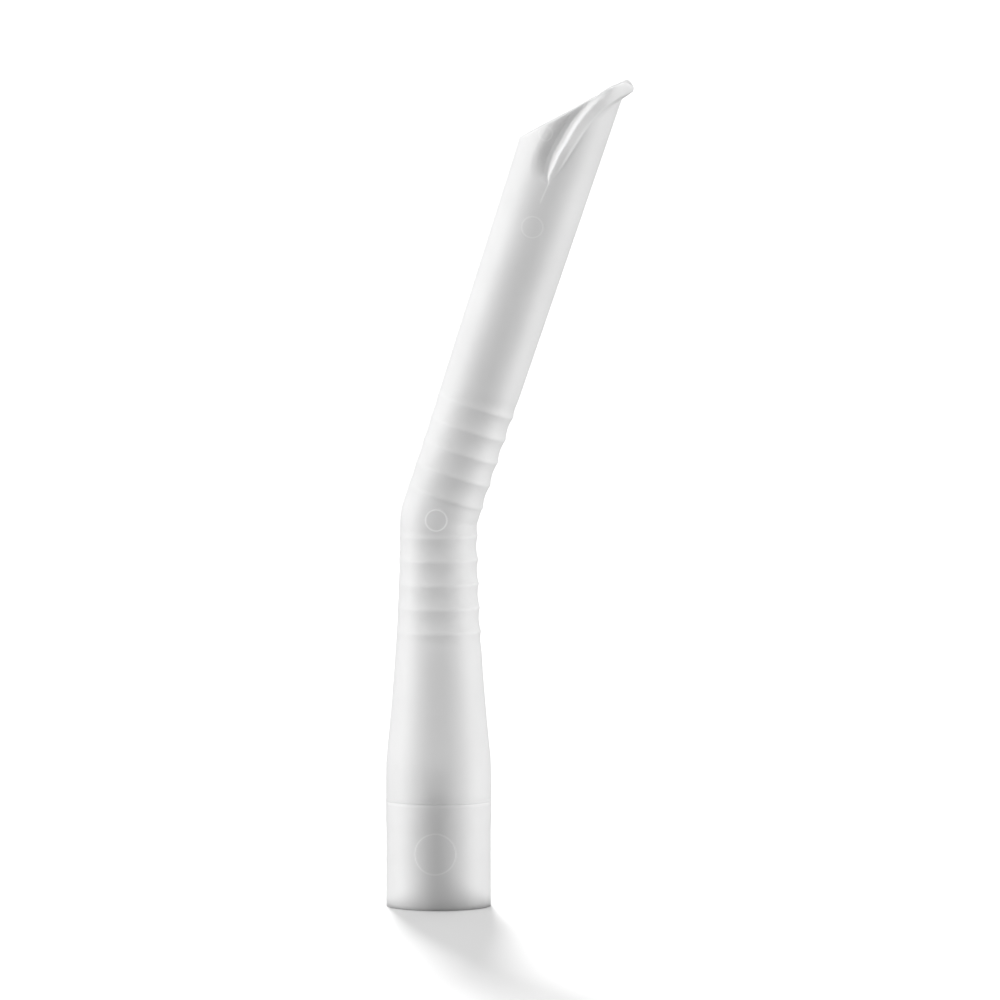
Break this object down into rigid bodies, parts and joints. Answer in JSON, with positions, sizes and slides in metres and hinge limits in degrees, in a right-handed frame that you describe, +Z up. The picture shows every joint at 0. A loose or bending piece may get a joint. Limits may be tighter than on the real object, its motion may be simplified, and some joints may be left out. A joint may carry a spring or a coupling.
{
  "type": "dental suction cannula",
  "caption": "Bent high-volume dental suction cannula with a ribbed bend, a bevelled mouth with a rolled lip, and a turning 16 mm coupling sleeve.",
  "frame": {"origin": "middle of the coupling sleeve's foot, on the surface that the cannula stands on", "axes": "+Z up along the coupling, towards the mouth; the stem leans towards +X; XZ is the plane of symmetry"},
  "size_m": [0.0377, 0.016, 0.1258],
  "materials": {
    "white_polypropylene": "translucent white moulded plastic with a satin surface"
  },
  "bodies": {
    "coupling": {"coupling_sleeve": "white_polypropylene"},
    "cannula": {"cannula_tube": "white_polypropylene", "lip_guard": "white_polypropylene"}
  },
  "joints": [
    {"name": "cannula_swivel", "type": "hinge", "parent": "coupling", "child": "cannula", "pos_m": [0, 0, 0.01615], "axis": [0, 0, 1], "continuous": true}
  ]
}
